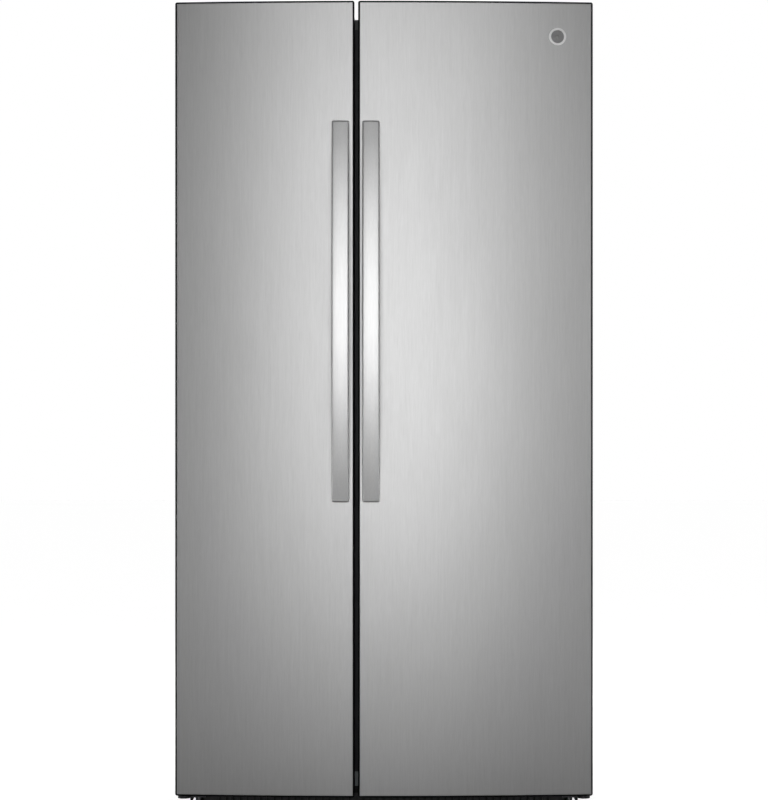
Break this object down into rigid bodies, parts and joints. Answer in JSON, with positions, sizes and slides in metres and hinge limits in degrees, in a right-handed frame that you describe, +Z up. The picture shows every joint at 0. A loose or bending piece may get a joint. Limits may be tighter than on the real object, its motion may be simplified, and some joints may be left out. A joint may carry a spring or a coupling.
{
  "type": "side by side refrigerator",
  "caption": "Free-standing side by side refrigerator with two bowed stainless doors, upright bar handles, and a fitted freezer and fresh-food compartment behind them.",
  "frame": {"origin": "on the floor under the centre of the overall box", "axes": "+Z up, the doors face -Y, the freezer is at -X"},
  "size_m": [0.908, 0.8899, 1.775],
  "materials": {
    "cabinet_paint": "satin",
    "rear_steel": "satin",
    "galvanised": "satin",
    "foam": "matte",
    "liner_white": "satin",
    "trim_grey": "satin",
    "mullion_grey": "satin",
    "black_steel": "satin",
    "zinc_steel": "satin",
    "black_nylon": "matte",
    "dark_plastic": "matte",
    "hinge_steel": "satin",
    "cover_grey": "matte",
    "screw_steel": "satin",
    "door_frame_black": "satin",
    "stainless": "satin",
    "gasket": "matte",
    "bin_clear": "gloss",
    "handle_steel": "satin",
    "badge_chrome": "polished",
    "shelf_white": "satin",
    "glass": "gloss",
    "ladder_steel": "satin",
    "crisper_clear": "gloss",
    "slider_grey": "gloss",
    "wire_white": "gloss",
    "coil_black": "satin",
    "fan_plastic": "satin",
    "motor_steel": "satin",
    "compressor_black": "gloss",
    "valve_plastic": "satin",
    "coil_aluminium": "satin",
    "housing_grey": "satin",
    "lens": "satin"
  },
  "bodies": {
    "cabinet": {"outer_case": "cabinet_paint", "rear_panel": "rear_steel", "bottom_pan": "galvanised", "foam_insulation": "foam", "freezer_liner": "liner_white", "fresh_food_liner": "liner_white", "mullion_trim": "mullion_grey", "base_frame": "black_steel", "roller_axles": "zinc_steel", "toe_grille": "dark_plastic", "door_hinges": "hinge_steel", "hinge_covers": "cover_grey", "case_screws": "screw_steel", "fresh_food_shelves": "shelf_white", "freezer_shelves": "shelf_white", "glass_panes": "glass", "shelf_ladders": "ladder_steel", "crisper_frame": "shelf_white", "condenser_coil": "coil_black", "fan_motors": "motor_steel", "drain_pan": "dark_plastic", "compressor": "compressor_black", "water_valve": "valve_plastic", "machine_cover": "rear_steel", "cord_gland": "dark_plastic", "evaporator_coil": "coil_aluminium", "evaporator_cover": "liner_white", "ice_maker": "trim_grey", "control_housing": "housing_grey", "led_lenses": "lens"},
    "freezer_door": {"freezer_door_frame": "door_frame_black", "freezer_door_skin": "stainless", "freezer_door_foam": "foam", "freezer_door_liner": "liner_white", "freezer_door_gasket": "gasket", "freezer_door_bins": "bin_clear", "freezer_handle": "handle_steel"},
    "fresh_food_door": {"fresh_food_door_frame": "door_frame_black", "fresh_food_door_skin": "stainless", "fresh_food_door_foam": "foam", "fresh_food_door_liner": "liner_white", "fresh_food_door_gasket": "gasket", "fresh_food_door_bins": "bin_clear", "fresh_food_handle": "handle_steel", "badge": "badge_chrome", "dairy_header": "liner_white"},
    "dairy_flap": {"dairy_flap": "bin_clear"},
    "crisper_upper": {"crisper_upper": "crisper_clear"},
    "crisper_lower": {"crisper_lower": "crisper_clear"},
    "humidity_slider": {"humidity_slider": "slider_grey"},
    "freezer_basket_upper": {"freezer_basket_upper": "wire_white"},
    "freezer_basket_lower": {"freezer_basket_lower": "wire_white"},
    "ice_bucket": {"ice_bucket": "crisper_clear"},
    "condenser_fan": {"condenser_fan": "fan_plastic"},
    "evaporator_fan": {"evaporator_fan": "fan_plastic"},
    "front_rollers": {"front_rollers": "black_nylon"},
    "rear_rollers": {"rear_rollers": "black_nylon"},
    "levelling_leg_left": {"levelling_leg_left": "zinc_steel"},
    "levelling_leg_right": {"levelling_leg_right": "zinc_steel"}
  },
  "joints": [
    {"name": "freezer_door_hinge", "type": "hinge", "parent": "cabinet", "child": "freezer_door", "pos_m": [-0.438, -0.325, 0.9], "axis": [0, 0, -1], "range_deg": [0, 120]},
    {"name": "fresh_food_door_hinge", "type": "hinge", "parent": "cabinet", "child": "fresh_food_door", "pos_m": [0.438, -0.325, 0.9], "axis": [0, 0, 1], "range_deg": [0, 120]},
    {"name": "crisper_upper_slide", "type": "slide", "parent": "cabinet", "child": "crisper_upper", "axis": [0, -1, 0], "range_m": [0, 0.22]},
    {"name": "crisper_lower_slide", "type": "slide", "parent": "cabinet", "child": "crisper_lower", "axis": [0, -1, 0], "range_m": [0, 0.22]},
    {"name": "freezer_basket_upper_slide", "type": "slide", "parent": "cabinet", "child": "freezer_basket_upper", "axis": [0, -1, 0], "range_m": [0, 0.22]},
    {"name": "freezer_basket_lower_slide", "type": "slide", "parent": "cabinet", "child": "freezer_basket_lower", "axis": [0, -1, 0], "range_m": [0, 0.22]},
    {"name": "ice_bucket_slide", "type": "slide", "parent": "cabinet", "child": "ice_bucket", "axis": [0, -1, 0], "range_m": [0, 0.22]},
    {"name": "dairy_flap_hinge", "type": "hinge", "parent": "fresh_food_door", "child": "dairy_flap", "pos_m": [0.189, -0.202, 1.59], "axis": [1, 0, 0], "range_deg": [0, 85]},
    {"name": "humidity_slide", "type": "slide", "parent": "crisper_upper", "child": "humidity_slider", "axis": [1, 0, 0], "range_m": [0, 0.06]},
    {"name": "condenser_fan_spin", "type": "hinge", "parent": "cabinet", "child": "condenser_fan", "pos_m": [-0.027, 0.325, 0.148], "axis": [1, 0, 0], "continuous": true},
    {"name": "evaporator_fan_spin", "type": "hinge", "parent": "cabinet", "child": "evaporator_fan", "pos_m": [-0.245, 0.307, 1.18], "axis": [0, 1, 0], "continuous": true},
    {"name": "front_roller_spin", "type": "hinge", "parent": "cabinet", "child": "front_rollers", "pos_m": [0, -0.195, 0.024], "axis": [1, 0, 0], "continuous": true},
    {"name": "rear_roller_spin", "type": "hinge", "parent": "cabinet", "child": "rear_rollers", "pos_m": [0, 0.392, 0.022], "axis": [1, 0, 0], "continuous": true},
    {"name": "levelling_leg_left_turn", "type": "hinge", "parent": "cabinet", "child": "levelling_leg_left", "pos_m": [-0.412, -0.262, 0.03], "axis": [0, 0, 1], "continuous": true},
    {"name": "levelling_leg_right_turn", "type": "hinge", "parent": "cabinet", "child": "levelling_leg_right", "pos_m": [0.412, -0.262, 0.03], "axis": [0, 0, 1], "continuous": true}
  ],
  "couplings": [
    {"joint": "crisper_upper_slide", "follows": "fresh_food_door_hinge", "m_per_rad": 0.105},
    {"joint": "crisper_lower_slide", "follows": "fresh_food_door_hinge", "m_per_rad": 0.105},
    {"joint": "freezer_basket_upper_slide", "follows": "freezer_door_hinge", "m_per_rad": 0.105},
    {"joint": "freezer_basket_lower_slide", "follows": "freezer_door_hinge", "m_per_rad": 0.105},
    {"joint": "ice_bucket_slide", "follows": "freezer_door_hinge", "m_per_rad": 0.105}
  ]
}
